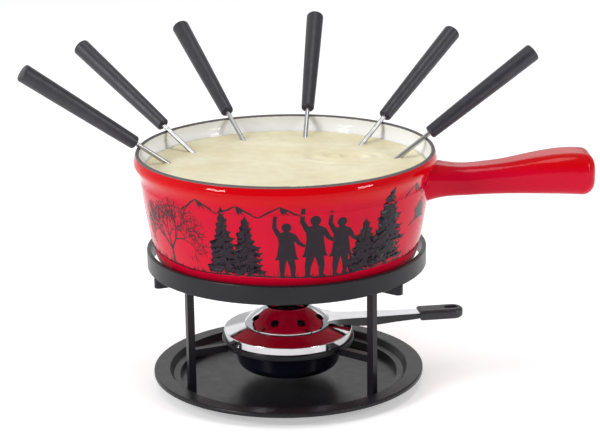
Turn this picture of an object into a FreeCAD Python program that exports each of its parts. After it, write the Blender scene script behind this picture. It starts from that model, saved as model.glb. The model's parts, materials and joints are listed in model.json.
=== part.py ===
"""Fondue set: enamelled pot with fondue, six forks, stand, drip tray and paste burner.

Millimetres, +Z up. The origin is the middle of the drip tray's underside, on the table.
The pot's handle points along +X. Azimuths are counted from +X towards +Y.
"""

import FreeCAD, Part
import math
import os

from FreeCAD import Placement, Rotation, Vector

# ---------------------------------------------------------------- driving dimensions

GAP = 0.3  # between pieces that lift off each other

# drip tray, pressed from sheet
TRAY_R = 105.0
TRAY_SHEET = 1.2
TRAY_RIM_Z = 11.7
TRAY_LIP_DROP = 3.2
TRAY_WELL_R = 92.7
TRAY_LEDGE_OUT_R = 89.6
TRAY_LEDGE_IN_R = 85.4
TRAY_LEDGE_Z = 6.4
TRAY_FLOOR_R = 84.2

# stand, welded from square bar
LEG_COUNT = 3
LEG_AZIMUTH = 82.0
LEG_SIZE = 5.5
LEG_R = 80.3
BAR_WIDTH = 7.5
BAR_BOTTOM_Z = 89.0
BAR_TOP_Z = 96.0
BAR_INNER_R = 60.0
BAR_OUTER_R = 107.6
RING_R = 107.2
RING_WALL = 3.0
RING_TOP_Z = 110.3
HOLDER_R = 51.3
HOLDER_HOLE_R = 43.3
HOLDER_BOTTOM_Z = 32.0
HOLDER_TOP_Z = 36.4
ARM_BOTTOM_Z = 30.4
ARM_TOP_Z = 35.9

# pot, one casting with its handle
POT_BASE_Z = BAR_TOP_Z + GAP
POT_RIM_Z = 186.0
POT_RIM_R = 115.0
POT_EDGE_R = 112.1  # middle of the rim's round edge
POT_EDGE_ROUND = 1.4
POT_WALL = 4.5
POT_FLOOR = 5.2
POT_FOOT_R = 91.5
POT_WALL_LINE = [(99.4, 104.5), (102.0, 114.0), (106.5, 138.0), (110.2, 164.0)]
POT_LIP_LINE = [(111.2, 170.5), (113.4, 174.6), (POT_RIM_R, 178.0), (114.7, 181.0), (113.9, 183.8)]
# sections of the handle: distance from the axis, middle height, height, width
HANDLE_SECTIONS = [
    (101.0, 159.0, 31.0, 42.0),
    (110.0, 159.6, 28.0, 37.0),
    (119.0, 159.8, 24.8, 33.0),
    (135.0, 159.4, 22.3, 29.8),
    (150.0, 160.2, 22.7, 30.2),
    (164.0, 161.2, 23.9, 31.8),
    (179.0, 162.6, 26.5, 35.2),
    (194.0, 163.9, 29.3, 39.0),
    (209.0, 164.7, 31.4, 41.8),
    (222.0, 164.5, 32.2, 42.8),
    (234.0, 163.5, 31.0, 41.5),
]
HANDLE_CORNER = 0.40  # corner radius as a share of the section's height
HANDLE_END_ROUND = 9.0

# fondue in the pot
FONDUE_TOP_Z = 173.5
FONDUE_CLEAR = 0.25
FONDUE_TOP_R = 107.3
FONDUE_FLOOR_R = 83.0
FONDUE_TURN = (90.6, 1.2)  # radius and height over its floor where the side starts
CHANNEL_R = 5.4

# forks, all alike, lying on the rim
FORK_REST_R = 112.0
FORK_REST_Z = 189.1
FORK_GRIP_START = 2.0
FORK_GRIP_LENGTH = 103.0
FORK_GRIP_R_INNER = 5.2
FORK_GRIP_R_OUTER = 7.0
FORK_GRIP_ROUND = 1.6
FORK_ROD_R = 1.8
FORK_ROD_IN_GRIP = 22.0
FORK_REACH = 104.0
TINE_COUNT = 3
TINE_R = 1.0
TINE_PITCH = 3.6
TINE_LENGTH = 26.0
TINE_POINT = 4.0
NECK_LENGTH = 9.0
# for each fork: azimuth of its place on the rim, azimuth its handle points in, and tilt
FORK_PLACES = [
    (177.7, 195.4, 36.2),
    (147.1, 141.2, 31.3),
    (113.8, 118.2, 33.8),
    (80.4, 84.2, 36.5),
    (45.5, 46.5, 32.9),
    (11.4, 16.5, 34.0),
]

# burner
CUP_R = 42.3
CUP_WALL_Z = 30.0
CUP_FOOT_R = 40.2
CUP_FOOT_Z = 19.4
CUP_BASE_R = 31.0
CUP_BOTTOM_Z = 11.8
CUP_SHEET = 0.8
CUP_FLANGE_R = 48.4
CUP_RIM_Z = 40.5
TIN_R = 36.0
TIN_FOOT_R = 30.6
TIN_TAPER = 6.4  # height over which the tin widens from its foot
TIN_SHEET = 0.5
TIN_HEIGHT = 20.8
GEL_HEIGHT = 14.6
LID_R = 49.8
LID_SHEET = 0.7
LID_SKIRT_Z = 36.8
LID_EDGE_Z = 42.7
LID_BEND = 0.9
LID_STEP_R = 33.4
LID_STEP_Z = 46.3
DOME_FOOT_Z = 46.9
DOME_SHEET = 0.7
DOME_LINE = [(33.4, 47.5), (30.6, 50.5), (26.0, 54.1), (21.4, 57.2), (18.0, 60.0), (17.0, 61.3)]
DOME_TO_NECK = 1.2  # from the dome's outside to the lid's neck inside it
AIR_HOLES = 8
AIR_HOLE_R = 3.4
AIR_HOLE_AT = (26.7, 53.6)
AIR_HOLE_TILT = 52.0
STRIP_AZIMUTH = 8.0
STRIP_SHEET = 0.9
STRIP_SPLAY = 0.45  # how far a side flange leans out for each mm of its depth
# sections of the regulator's handle: distance from the axis, top width, top height, flange depth
STRIP_SECTIONS = [
    (27.0, 31.0, 49.1, 1.8),
    (35.0, 21.5, 49.1, 2.4),
    (44.0, 17.6, 48.9, 4.2),
    (62.0, 15.4, 48.6, 6.0),
    (82.0, 13.4, 48.5, 4.9),
    (103.6, 11.2, 48.4, 3.6),
]
TONGUE_LENGTH = 20.0
TONGUE_WIDTH = 8.6
TONGUE_THICK = 1.4
GRIP_START = 103.8
GRIP_LENGTH = 35.4
GRIP_WIDTH = 16.5
GRIP_THICK = 8.0
GRIP_Z = 46.5
GRIP_EYE_LENGTH = 11.0
GRIP_EYE_WIDTH = 6.0
GRIP_EYE_FROM_END = 9.6

UP = Vector(0, 0, 1)
ORIGIN = Vector(0, 0, 0)


# ---------------------------------------------------------------- helpers

def save(shape, node):
    """Writes one piece, after checking that it is sound."""
    if not shape.isValid() or shape.Volume <= 0:
        raise ValueError(node + " is not a sound solid")
    shape.exportStep("parts/" + node + ".step")


def on_profile(point):
    return Vector(point[0], 0, point[1])


def turned(start, *moves):
    """Solid turned about Z from a closed outline of (radius, height).

    A move is a point for a straight edge, a pair of points (middle, end) for an arc,
    or a list of points for a smooth curve that starts from the last point reached.
    """
    edges = []
    here = on_profile(start)
    for move in moves + (start,):
        if isinstance(move, list):
            curve = Part.BSplineCurve()
            curve.interpolate([here] + [on_profile(p) for p in move])
            edges.append(curve.toShape())
            here = on_profile(move[-1])
        elif isinstance(move[0], tuple):
            middle, end = on_profile(move[0]), on_profile(move[1])
            edges.append(Part.Arc(here, middle, end).toShape())
            here = end
        else:
            end = on_profile(move)
            edges.append(Part.LineSegment(here, end).toShape())
            here = end
    face = Part.Face(Part.Wire(edges))
    return face.revolve(ORIGIN, UP, 360)


def corner(centre, radius, start, end):
    """Move for turned(): an arc about centre from one angle to another, in degrees."""
    def at(angle):
        a = math.radians(angle)
        return (centre[0] + radius * math.cos(a), centre[1] + radius * math.sin(a))
    return (at((start + end) / 2), at(end))


def about_axis(shape, azimuth):
    """Copy of a shape, turned about Z."""
    copy = shape.copy()
    copy.rotate(ORIGIN, UP, azimuth)
    return copy


def bar(x0, x1, width, z0, z1):
    """Square bar along +X, centred on the X axis."""
    return Part.makeBox(x1 - x0, width, z1 - z0, Vector(x0, -width / 2, z0))


def offset_line(line, distance):
    """A (radius, height) line moved sideways, towards the axis and down."""
    moved = []
    for i, point in enumerate(line):
        before, after = line[max(i - 1, 0)], line[min(i + 1, len(line) - 1)]
        dr, dz = after[0] - before[0], after[1] - before[1]
        length = math.hypot(dr, dz)
        moved.append((point[0] - distance * dz / length, point[1] + distance * dr / length))
    return moved


# ---------------------------------------------------------------- drip tray and stand

def make_tray():
    t = TRAY_SHEET
    return turned(
        (0, 0),
        (TRAY_FLOOR_R, 0),
        (TRAY_LEDGE_IN_R, TRAY_LEDGE_Z - t),
        (TRAY_LEDGE_OUT_R + t, TRAY_LEDGE_Z - t + 0.5),
        (TRAY_WELL_R + t, TRAY_RIM_Z - t),
        (TRAY_R - t, TRAY_RIM_Z - t),
        (TRAY_R - t, TRAY_RIM_Z - TRAY_LIP_DROP),
        (TRAY_R, TRAY_RIM_Z - TRAY_LIP_DROP),
        (TRAY_R, TRAY_RIM_Z - t),
        corner((TRAY_R - t, TRAY_RIM_Z - t), t, 0, 90),
        (TRAY_WELL_R + t / 2, TRAY_RIM_Z),
        corner((TRAY_WELL_R + t / 2, TRAY_RIM_Z - t), t, 90, 165),
        (TRAY_LEDGE_OUT_R, TRAY_LEDGE_Z + 0.5),
        (TRAY_LEDGE_IN_R - t / 2, TRAY_LEDGE_Z),
        (TRAY_FLOOR_R - t / 2, t),
        (0, t),
    )


def make_leg():
    return bar(LEG_R - LEG_SIZE / 2, LEG_R + LEG_SIZE / 2, LEG_SIZE, TRAY_SHEET, BAR_BOTTOM_Z)


def make_support_bar():
    """Radial bar that the pot stands on, with rounded ends."""
    radius = BAR_WIDTH / 2
    height = BAR_TOP_Z - BAR_BOTTOM_Z
    body = bar(BAR_INNER_R + radius, BAR_OUTER_R - radius, BAR_WIDTH, BAR_BOTTOM_Z, BAR_TOP_Z)
    for x in (BAR_INNER_R + radius, BAR_OUTER_R - radius):
        body = body.fuse(Part.makeCylinder(radius, height, Vector(x, 0, BAR_BOTTOM_Z)))
    return body.removeSplitter()


def make_burner_arm():
    """Arm from a leg to the ring that holds the burner."""
    arm = bar(HOLDER_R - 4, LEG_R - LEG_SIZE / 2, LEG_SIZE, ARM_BOTTOM_Z, ARM_TOP_Z)
    ring_space = Part.makeCylinder(HOLDER_R, 2 * HOLDER_TOP_Z)
    return arm.cut(ring_space)


def make_ring(outer, inner, bottom, top, rounding):
    """Flat ring with softened outer edges."""
    return turned(
        (inner, bottom),
        (outer - rounding, bottom),
        corner((outer - rounding, bottom + rounding), rounding, -90, 0),
        (outer, top - rounding),
        corner((outer - rounding, top - rounding), rounding, 0, 90),
        (inner, top),
    )


def build_stand():
    save(make_tray(), "tray")
    save(make_ring(RING_R, RING_R - RING_WALL, BAR_TOP_Z, RING_TOP_Z, 0.9), "stand_ring")
    holder = make_ring(HOLDER_R, HOLDER_HOLE_R, HOLDER_BOTTOM_Z, HOLDER_TOP_Z, 0.8)
    save(holder, "burner_ring")
    for i in range(LEG_COUNT):
        azimuth = LEG_AZIMUTH + i * 360 / LEG_COUNT
        number = str(i + 1)
        save(about_axis(make_leg(), azimuth), "leg_" + number)
        save(about_axis(make_support_bar(), azimuth), "support_bar_" + number)
        save(about_axis(make_burner_arm(), azimuth), "burner_arm_" + number)


# ---------------------------------------------------------------- pot and fondue

def pot_inner_line(extra):
    """The pot's inside wall from low to high, moved inwards by extra."""
    return [(r - POT_WALL - extra, z) for r, z in POT_WALL_LINE]


def make_bowl():
    inner = pot_inner_line(0)
    floor_z = POT_BASE_Z + POT_FLOOR
    edge = (POT_EDGE_R, POT_RIM_Z - POT_EDGE_ROUND)
    edge_start = corner(edge, POT_EDGE_ROUND, 180, 30)[1]
    inner_r = POT_EDGE_R - POT_EDGE_ROUND
    return turned(
        (0, POT_BASE_Z),
        (POT_FOOT_R, POT_BASE_Z),
        [(96.3, 98.6), POT_WALL_LINE[0]],
        POT_WALL_LINE[1:],
        POT_LIP_LINE + [edge_start],
        corner(edge, POT_EDGE_ROUND, 30, 180),
        [(inner_r - 0.5, 176.0), (inner_r - 3.4, 169.0), inner[3]],
        inner[2::-1],
        [(91.0, floor_z + 0.9), (84.0, floor_z)],
        (0, floor_z),
    )


def rounded_section(x, z, height, width):
    """Closed wire: a rectangle with round corners, across the handle."""
    r = HANDLE_CORNER * height
    y0, z0 = width / 2 - r, height / 2 - r
    diagonal = r / math.sqrt(2)
    edges = []
    for sy, sz in ((1, 1), (-1, 1), (-1, -1), (1, -1)):
        turn = sy * sz > 0
        side = Vector(x, sy * (y0 + r), z + sz * z0)
        top = Vector(x, sy * y0, z + sz * (z0 + r))
        middle = Vector(x, sy * (y0 + diagonal), z + sz * (z0 + diagonal))
        first, last = (side, top) if turn else (top, side)
        edges.append(Part.Arc(first, middle, last).toShape())
        if turn:
            end = Vector(x, -sy * y0, z + sz * (z0 + r))
        else:
            end = Vector(x, sy * (y0 + r), z - sz * z0)
        edges.append(Part.LineSegment(last, end).toShape())
    return Part.Wire(edges)


def make_handle():
    wires = [rounded_section(*section) for section in HANDLE_SECTIONS]
    handle = Part.makeLoft(wires, True, False)
    end_x = HANDLE_SECTIONS[-1][0]
    end_edges = [e for e in handle.Edges if e.BoundBox.XMin > end_x - 0.01]
    handle = handle.makeFillet(HANDLE_END_ROUND, end_edges)
    core = turned(
        (0, POT_BASE_Z),
        (POT_WALL_LINE[0][0] - POT_WALL / 2, POT_BASE_Z),
        [(r - POT_WALL / 2, z) for r, z in POT_WALL_LINE],
        (POT_EDGE_R, POT_RIM_Z),
        (0, POT_RIM_Z),
    )
    return handle.cut(core)


def make_pot():
    return make_bowl().fuse(make_handle()).removeSplitter()


def fork_placement(rim_azimuth, pointing, tilt):
    """Where a fork lies: its own X axis runs outwards and up along its handle."""
    a = math.radians(rim_azimuth)
    rest = Vector(FORK_REST_R * math.cos(a), FORK_REST_R * math.sin(a), FORK_REST_Z)
    return Placement(rest, Rotation(pointing, -tilt, 0))


def make_fondue():
    """The pot's filling, with a channel round each fork."""
    clear = FONDUE_CLEAR
    wall = pot_inner_line(clear)
    floor_z = POT_BASE_Z + POT_FLOOR + clear
    body = turned(
        (0, floor_z),
        (FONDUE_FLOOR_R, floor_z),
        [(FONDUE_TURN[0], floor_z + FONDUE_TURN[1]), wall[0]],
        wall[1:],
        (FONDUE_TOP_R - clear, FONDUE_TOP_Z),
        (0, FONDUE_TOP_Z),
    )
    for place in FORK_PLACES:
        start = Vector(-FORK_REACH - 2.5, 0, 0)
        channel = Part.makeCylinder(CHANNEL_R, FORK_REACH + 20, start, Vector(1, 0, 0))
        channel.Placement = fork_placement(*place).multiply(channel.Placement)
        body = body.cut(channel)
    return body


def build_pot():
    save(make_pot(), "pot")
    save(make_fondue(), "fondue")


# ---------------------------------------------------------------- forks

def make_fork_grip():
    """Turned plastic handle, along +X, with a bore for the rod."""
    start, end = FORK_GRIP_START, FORK_GRIP_START + FORK_GRIP_LENGTH
    inner, outer, r = FORK_GRIP_R_INNER, FORK_GRIP_R_OUTER, FORK_GRIP_ROUND
    swell = (inner + outer) / 2 + 0.15
    body = turned(
        (0, start),
        (inner - r, start),
        corner((inner - r, start + r), r, -90, 0),
        [(swell, (start + end) / 2), (outer, end - r)],
        corner((outer - r, end - r), r, 0, 90),
        (0, end),
    )
    bore = Part.makeCylinder(FORK_ROD_R + 0.03, FORK_ROD_IN_GRIP + 0.2, Vector(0, 0, start))
    body = body.cut(bore)
    body.rotate(ORIGIN, Vector(0, 1, 0), 90)
    return body


def make_fork_rod():
    """Steel rod with a flat head and three pointed tines, along -X from the handle."""
    head_x = -FORK_REACH + TINE_LENGTH
    rod_start = head_x + NECK_LENGTH / 2
    rod_end = FORK_GRIP_START + FORK_ROD_IN_GRIP
    along = Vector(1, 0, 0)
    rod = Part.makeCylinder(FORK_ROD_R, rod_end - rod_start, Vector(rod_start, 0, 0), along)
    half = TINE_PITCH * (TINE_COUNT - 1) / 2 + TINE_R
    plan = [
        (head_x - 1.5, -half),
        (head_x + 2.0, -half),
        (head_x + NECK_LENGTH, -FORK_ROD_R),
        (head_x + NECK_LENGTH, FORK_ROD_R),
        (head_x + 2.0, half),
        (head_x - 1.5, half),
    ]
    points = [Vector(x, y, -TINE_R) for x, y in plan]
    plate = Part.Face(Part.makePolygon(points + points[:1])).extrude(Vector(0, 0, 2 * TINE_R))
    fork = rod.fuse(plate)
    for i in range(TINE_COUNT):
        y = (i - (TINE_COUNT - 1) / 2) * TINE_PITCH
        base = Vector(head_x, y, 0)
        length = TINE_LENGTH - TINE_POINT
        fork = fork.fuse(Part.makeCylinder(TINE_R, length, base, -along))
        tip = base - along * length
        fork = fork.fuse(Part.makeCone(TINE_R, 0.25, TINE_POINT, tip, -along))
    return fork.removeSplitter()


def build_forks():
    grip, rod = make_fork_grip(), make_fork_rod()
    for i, place in enumerate(FORK_PLACES):
        for shape, name in ((grip, "_handle"), (rod, "_shaft")):
            piece = shape.copy()
            piece.Placement = fork_placement(*place).multiply(piece.Placement)
            save(piece, "fork_" + str(i + 1) + name)


# ---------------------------------------------------------------- burner

def eased(start, end):
    """Middle of a quarter turn that leaves start level and reaches end upright."""
    bulge = math.sqrt(0.5)
    return (start[0] + (end[0] - start[0]) * bulge, end[1] + (start[1] - end[1]) * bulge)


def make_cup():
    """Deep cup that hangs in its ring by a flange with an upright edge."""
    t = CUP_SHEET
    flange_z = HOLDER_TOP_Z + GAP
    base, foot = (CUP_BASE_R, CUP_BOTTOM_Z), (CUP_FOOT_R, CUP_FOOT_Z)
    inner_base, inner_foot = (CUP_BASE_R, CUP_BOTTOM_Z + t), (CUP_FOOT_R - t, CUP_FOOT_Z)
    return turned(
        (0, CUP_BOTTOM_Z),
        base,
        (eased(base, foot), foot),
        (CUP_R, CUP_WALL_Z),
        (CUP_R, flange_z),
        (CUP_FLANGE_R, flange_z),
        (CUP_FLANGE_R, CUP_RIM_Z),
        (CUP_FLANGE_R - t, CUP_RIM_Z),
        (CUP_FLANGE_R - t, flange_z + t),
        (CUP_R - t, flange_z + t),
        (CUP_R - t, CUP_WALL_Z),
        inner_foot,
        (eased(inner_base, inner_foot), inner_base),
        (0, CUP_BOTTOM_Z + t),
    )


def make_tin():
    """Fuel tin with a tapered foot, standing in the cup."""
    bottom = CUP_BOTTOM_Z + CUP_SHEET
    t = TIN_SHEET
    return turned(
        (0, bottom),
        (TIN_FOOT_R, bottom),
        (TIN_R, bottom + TIN_TAPER),
        (TIN_R, bottom + TIN_HEIGHT),
        (TIN_R - t, bottom + TIN_HEIGHT),
        (TIN_R - t, bottom + TIN_TAPER + t / 2),
        (TIN_FOOT_R - t / 2, bottom + t),
        (0, bottom + t),
    )


def make_gel():
    """Fuel paste in the tin."""
    bottom = CUP_BOTTOM_Z + CUP_SHEET + TIN_SHEET
    wall_r = TIN_R - TIN_SHEET
    return turned(
        (0, bottom),
        (TIN_FOOT_R - TIN_SHEET / 2, bottom),
        (wall_r, bottom + TIN_TAPER - TIN_SHEET / 2),
        (wall_r, bottom + GEL_HEIGHT),
        (0, bottom + GEL_HEIGHT),
    )


def air_holes(radius):
    """Cutters for the ring of air holes, square to the dome's slope."""
    tilt = math.radians(AIR_HOLE_TILT)
    outwards = Vector(math.cos(tilt), 0, math.sin(tilt))
    middle = Vector(AIR_HOLE_AT[0], 0, AIR_HOLE_AT[1])
    cutter = Part.makeCylinder(radius, 12, middle - outwards * 6, outwards)
    step = 360 / AIR_HOLES
    first = -90 + step / 2
    return Part.makeCompound([about_axis(cutter, first + i * step) for i in range(AIR_HOLES)])


def make_lid():
    """Plate with a skirt over the cup's edge and a perforated neck inside the dome."""
    t = LID_SHEET
    bend = LID_BEND
    outer = offset_line(DOME_LINE, DOME_TO_NECK)
    inner = offset_line(DOME_LINE, DOME_TO_NECK + t)
    neck_foot_r = outer[0][0]
    body = turned(
        (LID_R - t, LID_SKIRT_Z),
        (LID_R, LID_SKIRT_Z),
        (LID_R, LID_EDGE_Z - bend),
        corner((LID_R - bend, LID_EDGE_Z - bend), bend, 0, 78),
        (LID_STEP_R, LID_STEP_Z),
        (neck_foot_r, LID_STEP_Z),
        outer[0],
        outer[1:-1],
        inner[-2],
        inner[-3::-1],
        (inner[0][0], LID_STEP_Z - t),
        (LID_STEP_R - 0.3, LID_STEP_Z - t),
        (LID_R - t, LID_EDGE_Z - bend - 0.4),
    )
    return body.cut(air_holes(AIR_HOLE_R + 0.25))


def make_dome():
    """Bell-shaped flame regulator with air holes."""
    t = DOME_SHEET
    foot_r = DOME_LINE[0][0]
    inner = offset_line(DOME_LINE, t)
    body = turned(
        (foot_r - t, DOME_FOOT_Z),
        (foot_r, DOME_FOOT_Z),
        DOME_LINE[0],
        DOME_LINE[1:],
        inner[-1],
        inner[-2:0:-1] + [(foot_r - t, DOME_LINE[0][1] - 0.1)],
    )
    return body.cut(air_holes(AIR_HOLE_R))


def channel_section(section, inset):
    """Closed wire across the strip: a flat top with splayed side flanges."""
    x, width, top, depth = section
    half = width / 2 - inset
    top_z = top - inset
    foot_z = top - depth - (0.6 if inset else 0)
    foot = half + (top_z - foot_z) * STRIP_SPLAY
    points = [(-foot, foot_z), (-half, top_z), (half, top_z), (foot, foot_z)]
    corners = [Vector(x, y, z) for y, z in points]
    return Part.makePolygon(corners + corners[:1])


def make_strip():
    """Pressed handle strip: a tapering channel, open below, with a tongue for the grip."""
    outside = Part.makeLoft([channel_section(s, 0) for s in STRIP_SECTIONS], True, False)
    inside = Part.makeLoft([channel_section(s, STRIP_SHEET) for s in STRIP_SECTIONS], True, False)
    strip = outside.cut(inside)
    dome_space = turned(
        (0, DOME_FOOT_Z - 10),
        (DOME_LINE[0][0], DOME_FOOT_Z - 10),
        DOME_LINE[0],
        DOME_LINE[1:],
        (0, DOME_LINE[-1][1]),
    )
    strip = strip.cut(dome_space)
    end_x, _, end_top, _ = STRIP_SECTIONS[-1]
    tongue = bar(end_x - 8, end_x + TONGUE_LENGTH, TONGUE_WIDTH,
                 end_top - STRIP_SHEET - TONGUE_THICK + 0.3, end_top - STRIP_SHEET + 0.3)
    return about_axis(strip.fuse(tongue).removeSplitter(), STRIP_AZIMUTH)


def make_grip():
    """Plastic grip with a round end and an eye to hang the burner by."""
    half = GRIP_WIDTH / 2
    end_x = GRIP_START + GRIP_LENGTH
    z0 = GRIP_Z - GRIP_THICK / 2
    body = bar(GRIP_START, end_x - half, GRIP_WIDTH, z0, z0 + GRIP_THICK)
    body = body.fuse(Part.makeCylinder(half, GRIP_THICK, Vector(end_x - half, 0, z0)))
    body = body.removeSplitter()
    body = body.makeFillet(2.6, [e for e in body.Edges if e.BoundBox.ZLength < 0.01])
    eye_r = GRIP_EYE_WIDTH / 2
    eye_end = end_x - GRIP_EYE_FROM_END + GRIP_EYE_LENGTH / 2
    eye_start = eye_end - GRIP_EYE_LENGTH
    for x in (eye_start + eye_r, eye_end - eye_r):
        body = body.cut(Part.makeCylinder(eye_r, 20, Vector(x, 0, z0 - 5)))
    body = body.cut(bar(eye_start + eye_r, eye_end - eye_r, GRIP_EYE_WIDTH, z0 - 5, z0 + 15))
    end_top = STRIP_SECTIONS[-1][2]
    slot_top = end_top - STRIP_SHEET + 0.3
    slot = bar(GRIP_START - 1, STRIP_SECTIONS[-1][0] + TONGUE_LENGTH + 0.2, TONGUE_WIDTH,
               slot_top - TONGUE_THICK, slot_top)
    return about_axis(body.cut(slot), STRIP_AZIMUTH)


def build_burner():
    save(make_cup(), "burner_cup")
    save(make_tin(), "fuel_tin")
    save(make_gel(), "fuel_gel")
    save(make_lid(), "burner_lid")
    save(make_dome(), "regulator")
    save(make_strip(), "regulator_handle")
    save(make_grip(), "burner_grip")


os.makedirs("parts", exist_ok=True)
build_stand()
build_pot()
build_forks()
build_burner()
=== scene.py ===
"""Looks of the fondue set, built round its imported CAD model. Metres, in the CAD's own frame."""
import bmesh
import bpy
import json
import math
import random
from mathutils import Matrix, Vector, noise
from mathutils.bvhtree import BVHTree


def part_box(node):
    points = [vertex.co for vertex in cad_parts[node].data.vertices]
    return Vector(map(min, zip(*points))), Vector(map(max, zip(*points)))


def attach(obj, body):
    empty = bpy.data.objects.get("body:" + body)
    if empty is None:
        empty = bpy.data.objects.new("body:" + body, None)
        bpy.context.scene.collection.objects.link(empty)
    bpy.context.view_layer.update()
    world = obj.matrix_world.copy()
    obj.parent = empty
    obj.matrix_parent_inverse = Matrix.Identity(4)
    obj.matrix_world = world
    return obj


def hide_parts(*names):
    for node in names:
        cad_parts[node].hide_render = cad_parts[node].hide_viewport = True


MM = 0.001

# camera: distance in front of the stand's axis, height over the table, and its turns in radians
CAMERA_DISTANCE = 1.4046
CAMERA_HEIGHT = 0.5383
CAMERA_PITCH = 0.2848
CAMERA_YAW = 0.0075
CAMERA_ROLL = -0.0138
CAMERA_LENS = 114.5
SENSOR = 36.0

# room: brightness behind the camera and elsewhere, and the Y of the directions where one becomes the
# other; both are multiplied by a factor that goes from left to right between X = -ROOM_SIDE and ROOM_SIDE
ROOM_DARK, ROOM_LIGHT = 0.10, 0.70
ROOM_DARK_FROM, ROOM_DARK_TO = -0.85, -0.05
ROOM_LEFT, ROOM_RIGHT = 1.15, 0.6
ROOM_SIDE = 0.8

# softboxes: name, place, the point it faces, width, height, and power in watts
POT_MIDDLE, POT_LIP = (0, 0, 0.12), (0, -0.1, 0.18)
SOFTBOXES = (
    ("key_left", (-1.25, -0.95, 1.05), POT_MIDDLE, 0.3, 0.5, 11),
    ("fill_right", (1.5, -0.78, 1.05), POT_MIDDLE, 0.25, 0.4, 7),
    ("low_left", (-1.3, -1.07, 0.42), POT_LIP, 0.42, 0.16, 8.5),
    ("low_right", (1.5, -0.9, 0.36), POT_LIP, 0.34, 0.16, 6.5),
    ("overhead", (0.15, -0.1, 1.75), POT_MIDDLE, 0.8, 0.5, 7),
    ("back_light", (0.0, 1.7, 1.0), POT_MIDDLE, 2.2, 0.9, 4),
)

# floor: half its width, how far it lies under the tray, and its own glow, which keeps it white
FLOOR_HALF = 6
FLOOR_DROP = 0.2 * MM
FLOOR_GLOW = 0.36

# pot: heights that part its colours, among them the lip's painted shade, and the middle of its wall as radii at
# the foot and the shoulder
POT_INNER_FLOOR_Z = 0.0985
WALL_FOOT_Z, WALL_FOOT_R = 0.1045, 0.0972
SHOULDER_Z, SHOULDER_R = 0.164, 0.108
LIP_Z, LIP_FLARE = 0.180, 0.0047
# the lip is painted a deeper red from here up: painted shade, for the dark room that the lip reflects
LIP_PAINTED_SHADE_FROM, LIP_PAINTED_SHADE_TO = 0.166, 0.174
BARE_RIM_FROM, BARE_RIM_TO = 0.18475, 0.18500
BARE_RIM_R = 0.1155

# fondue: radius and height of its side, just inside the pot's wall, its floor's radius, where the
# spoon last turned, and its mesh
FONDUE_SIDE = ((0.1035, 0.158), (0.1015, 0.138), (0.097, 0.114), (0.0945, 0.1045))
FONDUE_FLOOR_R = 0.083
STIR_PLACE = (0.046, 0.024, 0)
FONDUE_RINGS, FONDUE_SPOKES = 150, 240
FORKS = 6

# printed band: millimetres round the pot on a cylinder of this radius, and millimetres of height; its
# shapes are cut every so many millimetres round and up, so that they can bend with the wall
PRINT_R = 105.0
PRINT_THICK = 0.16
PRINT_CUT_ROUND, PRINT_CUT_UP = 3.0, 6.0
GROUND_Z = 115.5
HILL_Z = 143.0
PEAK_Z, SADDLE_Z = (169.0, 172.5), (160.5, 163.5)
PEAK_SPACING = 15
TUFT_SPACING = 2.4
BOUGH_HEIGHT, BOUGH_STEP = 5.0, 3.0

# what is printed: azimuths in degrees, sizes in millimetres, and each shape's seed
BARE_TREES = ((-143, GROUND_Z - 1, 56, 11), (118, GROUND_Z, 54, 23))         # azimuth, base, height
FIRS = ((-115, 51, 31, 1), (-105.5, 45, 32, 2), (-58, 39, 36, 3), (-46, 59, 46, 4), (-176, 46, 32, 5),
        (167, 54, 36, 6), (92, 42, 33, 7), (79, 55, 38, 8), (36, 48, 34, 9),
        (48, 38, 30, 10))                                                     # azimuth, height, width
RIDGES = ((-134, -84, 1), (-38, -16, 2), (130, 160, 3), (56, 74, 4), (98, 108, 5))       # from, to
WALKERS = ((-90, 44, -1, 1), (-79, 49, -1, 2), (-68.5, 46, -1, 3), (144, 45, 1, 4),
           (153, 41, -1, 5))                               # azimuth, height, side of the raised arm
HILL_HUT, FIELD_HUT = (-24, 15), (63, 18)                                     # azimuth, width
GRASS = ((-178, -14, 7), (14, 178, 8))                                        # from, to

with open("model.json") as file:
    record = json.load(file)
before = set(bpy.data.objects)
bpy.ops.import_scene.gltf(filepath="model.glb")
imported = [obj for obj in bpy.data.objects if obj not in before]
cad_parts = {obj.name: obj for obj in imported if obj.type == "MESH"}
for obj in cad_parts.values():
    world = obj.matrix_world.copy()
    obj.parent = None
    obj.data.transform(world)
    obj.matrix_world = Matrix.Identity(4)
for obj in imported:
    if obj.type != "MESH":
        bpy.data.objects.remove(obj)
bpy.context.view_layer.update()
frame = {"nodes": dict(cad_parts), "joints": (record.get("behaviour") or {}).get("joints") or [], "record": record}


# ---------------------------------------------------------------- camera, light and floor

def make_camera():
    data = bpy.data.cameras.new("camera")
    data.sensor_width, data.lens = SENSOR, CAMERA_LENS
    data.clip_start, data.clip_end = 0.05, 50
    camera = bpy.data.objects.new("camera", data)
    bpy.context.scene.collection.objects.link(camera)
    cp, sp = math.cos(CAMERA_PITCH), math.sin(CAMERA_PITCH)
    forward = Vector((math.sin(CAMERA_YAW) * cp, math.cos(CAMERA_YAW) * cp, -sp))
    right = Vector((math.cos(CAMERA_YAW), -math.sin(CAMERA_YAW), 0))
    up = right.cross(forward)
    cr, sr = math.cos(CAMERA_ROLL), math.sin(CAMERA_ROLL)
    side, top = cr * right + sr * up, cr * up - sr * right
    turn = Matrix((side, top, -forward)).transposed().to_4x4()
    camera.matrix_world = Matrix.Translation((0, -CAMERA_DISTANCE, CAMERA_HEIGHT)) @ turn
    bpy.context.scene.camera = camera


def softbox(name, place, target, width, height, power):
    data = bpy.data.lights.new(name, "AREA")
    data.shape, data.size, data.size_y = "RECTANGLE", width, height
    data.energy = power
    light = bpy.data.objects.new(name, data)
    bpy.context.scene.collection.objects.link(light)
    light.location = place
    light.rotation_euler = (Vector(target) - Vector(place)).to_track_quat("-Z", "Y").to_euler()


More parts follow.
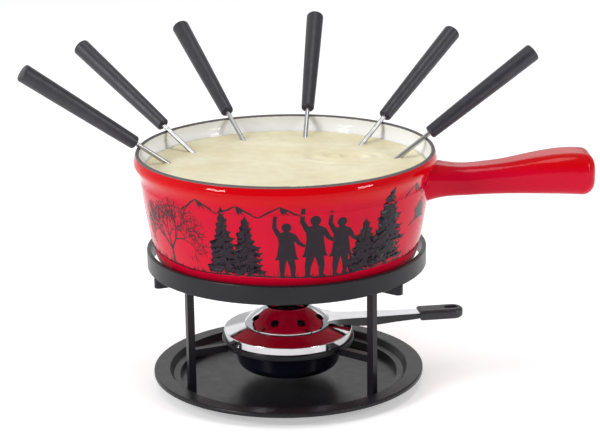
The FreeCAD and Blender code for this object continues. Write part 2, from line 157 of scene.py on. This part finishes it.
def ramp(tree, source, numbers, kind="LINEAR"):
    """Maps source from numbers[0]..numbers[1] to numbers[2]..numbers[3], clamped."""
    node = tree.nodes.new("ShaderNodeMapRange")
    node.interpolation_type = kind
    for socket, number in zip(node.inputs[1:5], numbers):
        socket.default_value = number
    tree.links.new(source, node.inputs[0])
    return node.outputs[0]


def make_studio():
    """White room, dark behind the camera and dimmer on the right, and its softboxes."""
    world = bpy.data.worlds.new("studio")
    bpy.context.scene.world = world
    world.use_nodes = True
    tree = world.node_tree
    nodes, links = tree.nodes, tree.links
    split = nodes.new("ShaderNodeSeparateXYZ")
    links.new(nodes.new("ShaderNodeTexCoord").outputs["Generated"], split.inputs[0])
    behind = ramp(tree, split.outputs["Y"],
                  (ROOM_DARK_FROM, ROOM_DARK_TO, ROOM_DARK, ROOM_LIGHT), "SMOOTHSTEP")
    across = ramp(tree, split.outputs["X"], (-ROOM_SIDE, ROOM_SIDE, ROOM_LEFT, ROOM_RIGHT))
    both = nodes.new("ShaderNodeMath")
    both.operation = "MULTIPLY"
    links.new(behind, both.inputs[0])
    links.new(across, both.inputs[1])
    background = nodes["Background"]
    background.inputs["Color"].default_value = (1, 1, 1, 1)
    links.new(both.outputs[0], background.inputs["Strength"])
    for box in SOFTBOXES:
        softbox(*box)
    bpy.context.scene.view_settings.view_transform = "Standard"


def make_floor():
    mesh = bpy.data.meshes.new("floor")
    bm = bmesh.new()
    bmesh.ops.create_grid(bm, x_segments=8, y_segments=8, size=FLOOR_HALF)
    bm.to_mesh(mesh)
    bm.free()
    floor = bpy.data.objects.new("floor", mesh)
    bpy.context.scene.collection.objects.link(floor)
    floor.location.z = -FLOOR_DROP
    paper = Shader("floor_paper", (0.86, 0.86, 0.865), 0.75)
    paper.bsdf.inputs["Emission Color"].default_value = (1, 1, 1, 1)
    paper.bsdf.inputs["Emission Strength"].default_value = FLOOR_GLOW
    paper.bump(paper.noise(40, 3), 0.02, 0.4 * MM)
    mesh.materials.append(paper.material)


# ---------------------------------------------------------------- materials

class Shader:
    """A node material round one Principled BSDF, in object coordinates."""

    def __init__(self, name, colour, roughness, metallic=0.0, **sockets):
        self.material = bpy.data.materials.new(name)
        self.material.use_nodes = True
        self.tree = self.material.node_tree
        self.bsdf = self.tree.nodes["Principled BSDF"]
        self.bsdf.inputs["Base Color"].default_value = (*colour, 1)
        self.bsdf.inputs["Roughness"].default_value = roughness
        self.bsdf.inputs["Metallic"].default_value = metallic
        for key, value in sockets.items():
            self.bsdf.inputs[key.replace("_", " ")].default_value = value
        self.place = self.node("ShaderNodeTexCoord").outputs["Object"]
        self.normal = None

    def node(self, kind, **settings):
        made = self.tree.nodes.new(kind)
        for key, value in settings.items():
            setattr(made, key, value)
        return made

    def link(self, source, target):
        self.tree.links.new(source, target)

    def feed(self, node, **values):
        """Sets or links a node's inputs by name."""
        for key, value in values.items():
            socket = node.inputs[key.replace("_", " ")]
            if isinstance(value, bpy.types.NodeSocket):
                self.link(value, socket)
            else:
                socket.default_value = value
        return node

    def noise(self, scale, detail=2, stretch=None, roughness=0.5):
        where = self.place
        if stretch:
            where = self.feed(self.node("ShaderNodeMapping"), Vector=where, Scale=stretch).outputs[0]
        texture = self.node("ShaderNodeTexNoise")
        self.feed(texture, Vector=where, Scale=scale, Detail=detail, Roughness=roughness)
        return texture.outputs["Fac"]

    def math(self, operation, a, b=0.0):
        node = self.node("ShaderNodeMath", operation=operation)
        for socket, value in zip(node.inputs, (a, b)):
            if isinstance(value, bpy.types.NodeSocket):
                self.link(value, socket)
            else:
                socket.default_value = value
        return node.outputs[0]

    def spread(self, value, low, high, to_low=0.0, to_high=1.0):
        """Maps value from low..high to to_low..to_high, clamped."""
        return ramp(self.tree, value, (low, high, to_low, to_high))

    def mix(self, share, a, b):
        """Colour mix of a and b, which are colours or sockets."""
        node = self.node("ShaderNodeMix", data_type="RGBA")
        self.link(share, node.inputs["Factor"])
        for socket, value in ((node.inputs[6], a), (node.inputs[7], b)):
            if isinstance(value, bpy.types.NodeSocket):
                self.link(value, socket)
            else:
                socket.default_value = (*value, 1)
        return node.outputs[2]

    def colour(self, socket):
        self.link(socket, self.bsdf.inputs["Base Color"])

    def roughness(self, socket):
        self.link(socket, self.bsdf.inputs["Roughness"])

    def bump(self, height, strength, distance):
        """Adds a bump; several are chained."""
        node = self.node("ShaderNodeBump")
        self.feed(node, Strength=strength, Distance=distance, Height=height)
        if self.normal:
            self.link(self.normal, node.inputs["Normal"])
        self.normal = node.outputs[0]
        self.link(self.normal, self.bsdf.inputs["Normal"])

    def cylinder_radius(self):
        """Distance from the Z axis, and the height."""
        split = self.feed(self.node("ShaderNodeSeparateXYZ"), Vector=self.place)
        x, y, z = split.outputs
        square = self.math("ADD", self.math("MULTIPLY", x, x), self.math("MULTIPLY", y, y))
        return self.math("SQRT", square), z


def pot_enamel():
    """Red enamel outside, with a deeper red of painted shade on the lip, white enamel inside, and the bare dark
    rim.
    """
    shader = Shader("pot_enamel", (0.5, 0.01, 0.02), 0.06, Specular_IOR_Level=0.12)
    radius, height = shader.cylinder_radius()
    pooled = shader.noise(9, 2)
    red = shader.mix(shader.spread(pooled, 0.35, 0.7), (0.515, 0.002, 0.023), (0.46, 0.0017, 0.0195))
    # painted shade: the lip band turns a deeper red, standing in for the dark reflection on the lip
    red = shader.mix(shader.spread(height, LIP_PAINTED_SHADE_FROM, LIP_PAINTED_SHADE_TO), red, (0.50, 0.0008, 0.004))
    speck = shader.spread(shader.noise(420, 1), 0.70, 0.76)
    red = shader.mix(speck, red, (0.42, 0.002, 0.014))
    white = shader.mix(shader.noise(14, 2), (0.88, 0.885, 0.89), (0.80, 0.80, 0.80))
    bare = shader.mix(shader.noise(900, 3), (0.085, 0.075, 0.078), (0.15, 0.135, 0.138))
    wall_middle = shader.spread(height, WALL_FOOT_Z, SHOULDER_Z, WALL_FOOT_R, SHOULDER_R)
    above = shader.spread(height, SHOULDER_Z, LIP_Z, 0.0, LIP_FLARE)
    inside = shader.math("LESS_THAN", radius, shader.math("ADD", wall_middle, above))
    off_floor = shader.math("GREATER_THAN", height, POT_INNER_FLOOR_Z)
    inside = shader.math("MULTIPLY", inside, off_floor)
    body = shader.mix(inside, red, white)
    ragged = shader.math("ADD", height, shader.math("MULTIPLY", shader.noise(260, 2), 0.0006))
    rim = shader.spread(ragged, BARE_RIM_FROM, BARE_RIM_TO)
    near = shader.math("LESS_THAN", radius, BARE_RIM_R)
    rim = shader.math("MULTIPLY", rim, near)
    shader.colour(shader.mix(rim, body, bare))
    polish = shader.spread(shader.noise(60, 2), 0.3, 0.7, 0.035, 0.08)
    shader.roughness(shader.math("ADD", polish, shader.math("MULTIPLY", rim, 0.42)))
    shader.bump(shader.noise(38, 2), 0.35, 1.1 * MM)
    shader.bump(shader.noise(150, 2), 0.16, 0.35 * MM)
    shader.bump(shader.math("MULTIPLY", shader.noise(1600, 2), rim), 0.35, 0.12 * MM)
    return shader.material


def black_paint():
    """Satin paint on the stand and the tray, a little uneven."""
    shader = Shader("black_paint", (0.011, 0.011, 0.013), 0.32, Specular_IOR_Level=0.22)
    tone = shader.spread(shader.noise(30, 3), 0.3, 0.7)
    shader.colour(shader.mix(tone, (0.008, 0.0075, 0.010), (0.013, 0.0125, 0.0145)))
    shader.roughness(shader.spread(shader.noise(140, 3), 0.3, 0.7, 0.27, 0.34))
    shader.bump(shader.noise(950, 2), 0.16, 0.08 * MM)
    shader.bump(shader.noise(60, 2), 0.08, 0.12 * MM)
    return shader.material


def cup_enamel():
    """Glossy black enamel of the burner's cup."""
    shader = Shader("cup_enamel", (0.004, 0.004, 0.009), 0.14, Specular_IOR_Level=0.55)
    shader.roughness(shader.spread(shader.noise(90, 2), 0.3, 0.7, 0.1, 0.2))
    shader.bump(shader.noise(120, 2), 0.12, 0.3 * MM)
    return shader.material


def chrome():
    """Polished chrome with faint smudges."""
    shader = Shader("chrome", (0.58, 0.58, 0.60), 0.05, 1.0)
    smudge = shader.spread(shader.noise(55, 4, roughness=0.6), 0.35, 0.75)
    shader.colour(shader.mix(smudge, (0.60, 0.60, 0.62), (0.51, 0.51, 0.53)))
    shader.roughness(shader.spread(shader.noise(130, 3), 0.3, 0.8, 0.045, 0.16))
    shader.bump(shader.noise(70, 2), 0.1, 0.25 * MM)
    return shader.material


def stainless():
    """Drawn steel rod with faint tone changes from its polishing."""
    shader = Shader("stainless", (0.46, 0.46, 0.47), 0.32, 1.0)
    streak = shader.noise(160, 2)
    shader.colour(shader.mix(shader.spread(streak, 0.3, 0.7), (0.49, 0.487, 0.485), (0.41, 0.41, 0.42)))
    shader.roughness(shader.spread(streak, 0.3, 0.7, 0.28, 0.36))
    shader.bump(shader.noise(200, 2), 0.02, 0.03 * MM)
    return shader.material


def moulded_plastic(name, tones, rough, grain):
    """Satin plastic between two tones, with a fine grain of this noise scale."""
    shader = Shader(name, tones[0], rough, Specular_IOR_Level=0.45)
    shader.colour(shader.mix(shader.spread(shader.noise(160, 3), 0.3, 0.7), *tones))
    shader.roughness(shader.spread(shader.noise(300, 3), 0.3, 0.7, rough - 0.05, rough + 0.07))
    shader.bump(shader.noise(grain, 2), 0.3, 0.1 * MM)
    return shader.material


def tinplate():
    """Satin tinplate with faint upright streaks."""
    shader = Shader("tinplate", (0.66, 0.66, 0.65), 0.28, 1.0)
    shader.roughness(shader.spread(shader.noise(220, 3, stretch=(1, 1, 0.15)), 0.3, 0.7, 0.2, 0.4))
    shader.bump(shader.noise(900, 2), 0.1, 0.06 * MM)
    return shader.material


def fuel_paste():
    """Cloudy fuel paste."""
    shader = Shader("fuel_paste", (0.30, 0.38, 0.60), 0.25, Subsurface_Weight=0.25)
    shader.bsdf.inputs["Subsurface Radius"].default_value = (0.004, 0.005, 0.006)
    shader.colour(shader.mix(shader.noise(90, 2), (0.26, 0.34, 0.58), (0.36, 0.45, 0.66)))
    shader.bump(shader.noise(110, 3), 0.4, 0.8 * MM)
    return shader.material


def melted_cheese():
    """Satin melted cheese in two tones, speckled with a darker third."""
    shader = Shader("melted_cheese", (0.9, 0.8, 0.55), 0.42, Specular_IOR_Level=0.3, Subsurface_Weight=0.12)
    shader.bsdf.inputs["Subsurface Radius"].default_value = (0.006, 0.004, 0.002)
    broad = shader.spread(shader.noise(26, 2, stretch=(1, 1.4, 1)), 0.34, 0.66)
    fine = shader.spread(shader.noise(120, 4), 0.35, 0.75)
    base = shader.mix(broad, (0.81, 0.75, 0.535), (0.73, 0.66, 0.42))
    shader.colour(shader.mix(shader.math("MULTIPLY", fine, 0.35), base, (0.66, 0.575, 0.38)))
    shader.roughness(shader.spread(fine, 0, 1, 0.34, 0.5))
    shader.bump(shader.noise(70, 2), 0.2, 0.5 * MM)
    shader.bump(shader.noise(420, 2), 0.08, 0.1 * MM)
    return shader.material


def print_ink():
    """Dark decoration, fired under the glossy glaze."""
    shader = Shader("print_ink", (0.02, 0.017, 0.02), 0.14, Specular_IOR_Level=0.16)
    worn = shader.spread(shader.noise(240, 4, roughness=0.65), 0.55, 0.78)
    shader.colour(shader.mix(worn, (0.017, 0.011, 0.017), (0.050, 0.014, 0.024)))
    shader.roughness(shader.spread(shader.noise(60, 2), 0.3, 0.7, 0.09, 0.17))
    shader.bump(shader.noise(38, 2), 0.35, 1.1 * MM)
    return shader.material


def dress_cad_nodes():
    """Gives every CAD node its material."""
    plastic = moulded_plastic("fork_plastic", ((0.018, 0.018, 0.025), (0.027, 0.026, 0.036)), 0.42, 2200)
    grip = moulded_plastic("grip_plastic", ((0.016, 0.016, 0.019), (0.024, 0.024, 0.028)), 0.42, 1700)
    finishes = {
        "enamel": pot_enamel(),
        "black_paint": black_paint(),
        "cup_enamel": cup_enamel(),
        "chrome": chrome(),
        "stainless": stainless(),
        "fork_plastic": plastic,
        "grip_plastic": grip,
        "tinplate": tinplate(),
        "gel": fuel_paste(),
        "fondue": melted_cheese(),
    }
    for part in frame["record"]["subparts"]:
        node = frame["nodes"][part["node"]]
        node.data.materials.clear()
        node.data.materials.append(finishes[part["material_slot"]])
    return finishes


# ---------------------------------------------------------------- meshes

def new_object(name, bm, material, body):
    """Finishes a bmesh as a piece that rides on a body."""
    bmesh.ops.recalc_face_normals(bm, faces=bm.faces)
    for face in bm.faces:
        face.smooth = True
    mesh = bpy.data.meshes.new(name)
    bm.to_mesh(mesh)
    bm.free()
    mesh.materials.append(material)
    piece = bpy.data.objects.new(name, mesh)
    bpy.context.scene.collection.objects.link(piece)
    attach(piece, body)
    return piece


def fork_line(number):
    """A point on a fork's axis and its direction, outwards and up."""
    joint = next(j for j in frame["joints"] if j["child"] == f"fork_{number}")
    vertices = frame["nodes"][f"fork_{number}_handle"].data.vertices
    centre = sum((v.co for v in vertices), Vector()) / len(vertices)
    return centre, Vector(joint["axis"]).normalized()


def make_fondue(material):
    """Thick melted cheese with a stirred surface that climbs a little at the wall and the forks."""
    low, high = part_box("fondue")
    top = high.z
    edge_r = (high.x - low.x) / 2
    entries = []
    for number in range(1, FORKS + 1):
        point, along = fork_line(number)
        entries.append(point + along * ((top - point.z) / along.z))
    stirred = Vector(STIR_PLACE)
    bm = bmesh.new()

    def surface(x, y):
        """Height of the surface; its relief is in millimetres."""
        here = Vector((x, y, 0))
        relief = 0.5 * noise.noise(here * 22) + 0.22 * noise.noise(here * 60 + Vector((3, 1, 0)))
        away = here - stirred
        reach = math.hypot(away.x, away.y * 1.5)
        turn = math.atan2(away.y * 1.5, away.x)
        # two spiral arms and the hollow between them
        relief += 1.3 * math.exp(-(reach / 0.026) ** 2) * math.sin(2 * turn + reach * 420)
        relief -= 1.2 * math.exp(-(reach / 0.007) ** 2)
        # the rise at the wall and at each shaft
        relief += 0.9 * math.exp(-(edge_r - math.hypot(x, y)) / (1.5 * MM))
        for entry in entries:
            gap = max(math.hypot(x - entry.x, y - entry.y) - 1.5 * MM, 0)
            relief += 0.9 * math.exp(-gap / (1.3 * MM))
        return top - 1.2 * MM + relief * MM

    def ring(r, height):
        """A round row of vertices; height(x, y) is their Z."""
        row = []
        for j in range(FONDUE_SPOKES):
            a = 2 * math.pi * j / FONDUE_SPOKES
            x, y = r * math.cos(a), r * math.sin(a)
            row.append(bm.verts.new((x, y, height(x, y))))
        return row

    centre = bm.verts.new((0, 0, surface(0, 0)))
    rows = [ring(edge_r * i / FONDUE_RINGS, surface) for i in range(1, FONDUE_RINGS + 1)]
    for r, z in (*FONDUE_SIDE, (FONDUE_FLOOR_R, low.z)):
        rows.append(ring(r, lambda x, y: z))
    for j in range(FONDUE_SPOKES):
        k = (j + 1) % FONDUE_SPOKES
        bm.faces.new((centre, rows[0][j], rows[0][k]))
        for inner, outer in zip(rows, rows[1:]):
            bm.faces.new((inner[j], outer[j], outer[k], inner[k]))
    bm.faces.new(rows[-1])
    piece = new_object("melted_fondue", bm, material, "pot")
    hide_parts("fondue")


# ---------------------------------------------------------------- printed band

class PrintedBand:
    """Collects flat shapes, in millimetres round the pot and of height, and lays them on its wall."""

    def __init__(self):
        pot = frame["nodes"]["pot"]
        self.tree = BVHTree.FromPolygons([v.co for v in pot.data.vertices],
                                         [p.vertices for p in pot.data.polygons])
        self.shapes = []

    def polygon(self, points, lift=0.0):
        self.shapes.append(([Vector((x, y, 0)) for x, y in points], lift))

    def stroke(self, points, widths, lift=0.0):
        """A line of changing width along its points."""
        left, right = [], []
        for i, point in enumerate(points):
            before, after = points[max(i - 1, 0)], points[min(i + 1, len(points) - 1)]
            along = Vector(after) - Vector(before)
            side = Vector((-along.y, along.x)).normalized() * widths[i] / 2
            left.append((point[0] + side.x, point[1] + side.y))
            right.append((point[0] - side.x, point[1] - side.y))
        self.polygon(left + right[::-1], lift)

    def on_wall(self, u, z, lift):
        """The point of the pot's outside at a place on the band."""
        a = u / PRINT_R
        out = Vector((math.cos(a), math.sin(a), 0))
        start = out * 0.2 + Vector((0, 0, z * MM))
        hit = self.tree.ray_cast(start, -out)[0]
        return hit + out * lift * MM

    @staticmethod
    def flat(points):
        """The shape as a flat bmesh, cut along a grid so that it can bend with the wall."""
        part = bmesh.new()
        part.faces.new([part.verts.new(p) for p in points])
        bmesh.ops.triangulate(part, faces=part.faces, ngon_method="EAR_CLIP")
        for axis, step in ((0, PRINT_CUT_ROUND), (1, PRINT_CUT_UP)):
            low = min(p[axis] for p in points)
            high = max(p[axis] for p in points)
            normal = Vector((1, 0, 0)) if axis == 0 else Vector((0, 1, 0))
            for k in range(math.ceil(low / step), math.floor(high / step) + 1):
                parts = part.verts[:] + part.edges[:] + part.faces[:]
                bmesh.ops.bisect_plane(part, geom=parts, plane_co=normal * k * step, plane_no=normal)
        return part

    def build(self, name, material):
        """Makes one piece of the shapes collected so far: thin solids, sunk a little into the wall."""
        bm = bmesh.new()
        for points, lift in self.shapes:
            part = self.flat(points)
            front, back = {}, {}
            for v in part.verts:
                front[v] = bm.verts.new(self.on_wall(v.co.x, v.co.y, PRINT_THICK * 0.6 + lift))
                back[v] = bm.verts.new(self.on_wall(v.co.x, v.co.y, -PRINT_THICK * 0.4))
            for f in part.faces:
                bm.faces.new([front[v] for v in f.verts])
                bm.faces.new([back[v] for v in reversed(f.verts)])
            for e in part.edges:
                if len(e.link_faces) == 1:
                    a, b = e.verts
                    side = bm.faces.new((front[a], back[a], back[b], front[b]))
                    for edge in side.edges:
                        edge.smooth = False
            part.free()
        self.shapes = []
        new_object(name, bm, material, "pot")


def fir_tree(band, u, base, height, width, seed):
    """Dense fir: ragged drooping boughs that overlap at the trunk and part at their tips."""
    rng = random.Random(seed)
    tiers = max(7, round(height / BOUGH_HEIGHT))
    step = height / tiers
    trunk = [(u, base), (u, base + height / 2), (u, base + height)]
    band.stroke(trunk, [height * 0.06, height * 0.04, 0.4])
    for i in range(tiers):
        share = (i + 0.7) / tiers
        top = base + height * (1 - 0.93 * share) + step * 1.15
        for side in (-1, 1):
            half = width / 2 * (0.08 + 0.92 * share ** 0.85) * rng.uniform(0.72, 1.15)
            steps = max(3, round(half / BOUGH_STEP))
            upper, lower = [], []
            for k in range(steps + 1):
                reach = k / steps
                z = top - step * 1.25 * reach ** 0.85 + (0.35 * step if k == steps else 0)
                upper.append((u + side * half * reach, z))
                if k < steps:
                    thick = step * (1.55 - 1.2 * reach)
                    tip = z - thick - rng.uniform(0.2, 1.8)
                    lower.append((u + side * half * (reach + 0.45 / steps), tip))
                    lower.append((u + side * half * (reach + 0.1 / steps), z - thick * 0.75))
            band.polygon(upper + lower[::-1], 0.012 * ((i + (side > 0)) % 3))


def bare_tree(band, u, base, height, seed):
    """Leafless tree with a round crown of limbs that fork again and again."""
    rng = random.Random(seed)

    def limb(x, y, angle, length, width, depth):
        bend = rng.uniform(-0.3, 0.3)
        points, widths = [(x, y)], [width]
        for k in range(1, 4):
            turn = angle + bend * k / 3
            x += math.cos(turn) * length / 3
            y += math.sin(turn) * length / 3
            points.append((x, y))
            widths.append(width * (1 - 0.36 * k / 3))
        band.stroke(points, widths, 0.01 * (depth % 3))
        if depth == 0:
            return
        for side in (-1, 1):
            spread = side * rng.uniform(0.36, 0.85)
            limb(x, y, angle + bend / 2 + spread, length * rng.uniform(0.74, 0.88),
                 max(width * 0.62, 0.4), depth - 1)
        if depth > 1 and rng.random() < 0.85:
            limb(x, y, angle + rng.uniform(-0.15, 0.15), length * 0.74,
                 max(width * 0.5, 0.34), depth - 2)

    limb(u, base, math.pi / 2 + 0.03, height * 0.225, 3.0, 7)


def ridge(band, start, end, seed):
    """Mountain skyline as a brushed line with shaded flanks."""
    rng = random.Random(seed)
    count = max(2, round(abs(end - start) / PEAK_SPACING))
    points = []
    for i in range(count + 1):
        u = start + (end - start) * i / count
        points.append((u, rng.uniform(*(PEAK_Z if i % 2 else SADDLE_Z))))
    for (u0, z0), (u1, z1) in zip(points, points[1:]):
        line, widths = [], []
        for k in range(7):
            t = k / 6
            wobble = rng.uniform(-0.45, 0.45) if 0 < k < 6 else 0
            line.append((u0 + (u1 - u0) * t, z0 + (z1 - z0) * t + wobble))
            widths.append(0.8 + 0.6 * math.sin(math.pi * t))
        band.stroke(line, widths)
        if z1 < z0:
            band.polygon([(u0, z0), (u0 + 6.2, z0 - 3.3), (u0 + 4.1, z0 - 3.9), (u0 + 7.0, z0 - 7.2),
                          (u0 + 2.6, z0 - 4.6), (u0 + 2.9, z0 - 7.4), (u0 + 0.4, z0 - 4.2)], 0.01)


def grass(band, start, end, seed):
    """Thin ground line with tufts."""
    rng = random.Random(seed)
    count = round((end - start) / TUFT_SPACING)
    line = []
    for i in range(count + 1):
        u = start + (end - start) * i / count
        line.append((u, GROUND_Z + 0.8 * math.sin(u / 17.0) + rng.uniform(-0.25, 0.25)))
    band.stroke(line, [rng.uniform(0.5, 1.3) for _ in line])
    for u, z in line:
        for _ in range(rng.choice((0, 1, 2, 2, 3))):
            x = u + rng.uniform(-1.2, 1.2)
            tall = rng.uniform(1.2, 4.6)
            lean = rng.uniform(-0.9, 0.9)
            band.polygon([(x - 0.32, z), (x + 0.32, z), (x + lean, z + tall)], 0.014)


def walker(band, u, base, height, raised, seed):
    """Plain cut-out hiker: round head, coat, two legs, one arm up and one arm out."""
    rng = random.Random(seed)
    h = height
    head_z, head_r = base + 0.90 * h, 0.078 * h
    turns = [2 * math.pi * k / 20 for k in range(20)]
    band.polygon([(u + head_r * math.cos(a), head_z + head_r * math.sin(a)) for a in turns], 0.012)
    coat = [(0.045, 0.83), (0.145, 0.78), (0.125, 0.62), (0.160, 0.40), (0.195, 0.33)]
    right = [(u + x * h, base + z * h) for x, z in coat]
    left = [(u - x * h, base + z * h) for x, z in coat]
    band.polygon(left[::-1] + right)
    for side in (-1, 1):
        foot = u + side * h * (0.075 + rng.uniform(0, 0.03))
        leg = [(u + side * 0.06 * h, base + 0.36 * h), (foot, base + 0.18 * h), (foot, base + 0.02 * h)]
        band.stroke(leg, [0.13 * h, 0.10 * h, 0.06 * h], 0.01)
        band.polygon([(foot - 0.035 * h, base), (foot + 0.07 * h, base),
                      (foot + 0.05 * h, base + 0.035 * h), (foot - 0.03 * h, base + 0.05 * h)], 0.012)
    band.stroke([(u + raised * 0.11 * h, base + 0.75 * h), (u + raised * 0.19 * h, base + 0.90 * h),
                 (u + raised * 0.17 * h, base + 1.10 * h)], [0.09 * h, 0.07 * h, 0.055 * h], 0.01)
    band.stroke([(u - raised * 0.11 * h, base + 0.76 * h), (u - raised * 0.20 * h, base + 0.62 * h),
                 (u - raised * 0.29 * h, base + 0.56 * h)], [0.085 * h, 0.07 * h, 0.05 * h], 0.01)


def hut(band, u, base, size):
    """Small mountain hut."""
    band.polygon([(u - size / 2, base), (u + size / 2, base), (u + size / 2, base + 0.45 * size),
                  (u - size / 2, base + 0.45 * size)])
    band.polygon([(u - 0.68 * size, base + 0.42 * size), (u + 0.68 * size, base + 0.42 * size),
                  (u, base + 0.86 * size)], 0.012)
    band.polygon([(u + 0.2 * size, base + 0.6 * size), (u + 0.33 * size, base + 0.6 * size),
                  (u + 0.33 * size, base + 0.95 * size), (u + 0.2 * size, base + 0.95 * size)], 0.014)


def at(azimuth):
    """Place on the band, in millimetres, of an azimuth in degrees."""
    return math.radians(azimuth) * PRINT_R


def make_print():
    """The whole decoration, one piece for each kind of shape."""
    ink = print_ink()
    band = PrintedBand()
    for azimuth, base, height, seed in BARE_TREES:
        bare_tree(band, at(azimuth), base, height, seed)
    band.build("print_bare_trees", ink)
    for azimuth, height, width, seed in FIRS:
        fir_tree(band, at(azimuth), GROUND_Z, height, width, seed)
    band.build("print_firs", ink)
    for start, end, seed in RIDGES:
        ridge(band, at(start), at(end), seed)
    band.build("print_ridges", ink)
    for azimuth, height, raised, seed in WALKERS:
        walker(band, at(azimuth), GROUND_Z - 0.3, height, raised, seed)
    band.build("print_walkers", ink)
    azimuth, size = HILL_HUT
    hut(band, at(azimuth), HILL_Z, size)
    hill = [(at(azimuth + turn), HILL_Z - 0.04 * turn ** 2) for turn in range(-9, 10, 3)]
    band.stroke(hill, [0.6, 1.2, 1.5, 1.6, 1.5, 1.2, 0.6])
    azimuth, size = FIELD_HUT
    hut(band, at(azimuth), GROUND_Z, size)
    band.build("print_huts", ink)
    for start, end, seed in GRASS:
        grass(band, at(start), at(end), seed)
    band.build("print_grass", ink)


# ---------------------------------------------------------------- whole scene

make_camera()
make_studio()
make_floor()
finishes = dress_cad_nodes()
make_fondue(finishes["fondue"])
make_print()
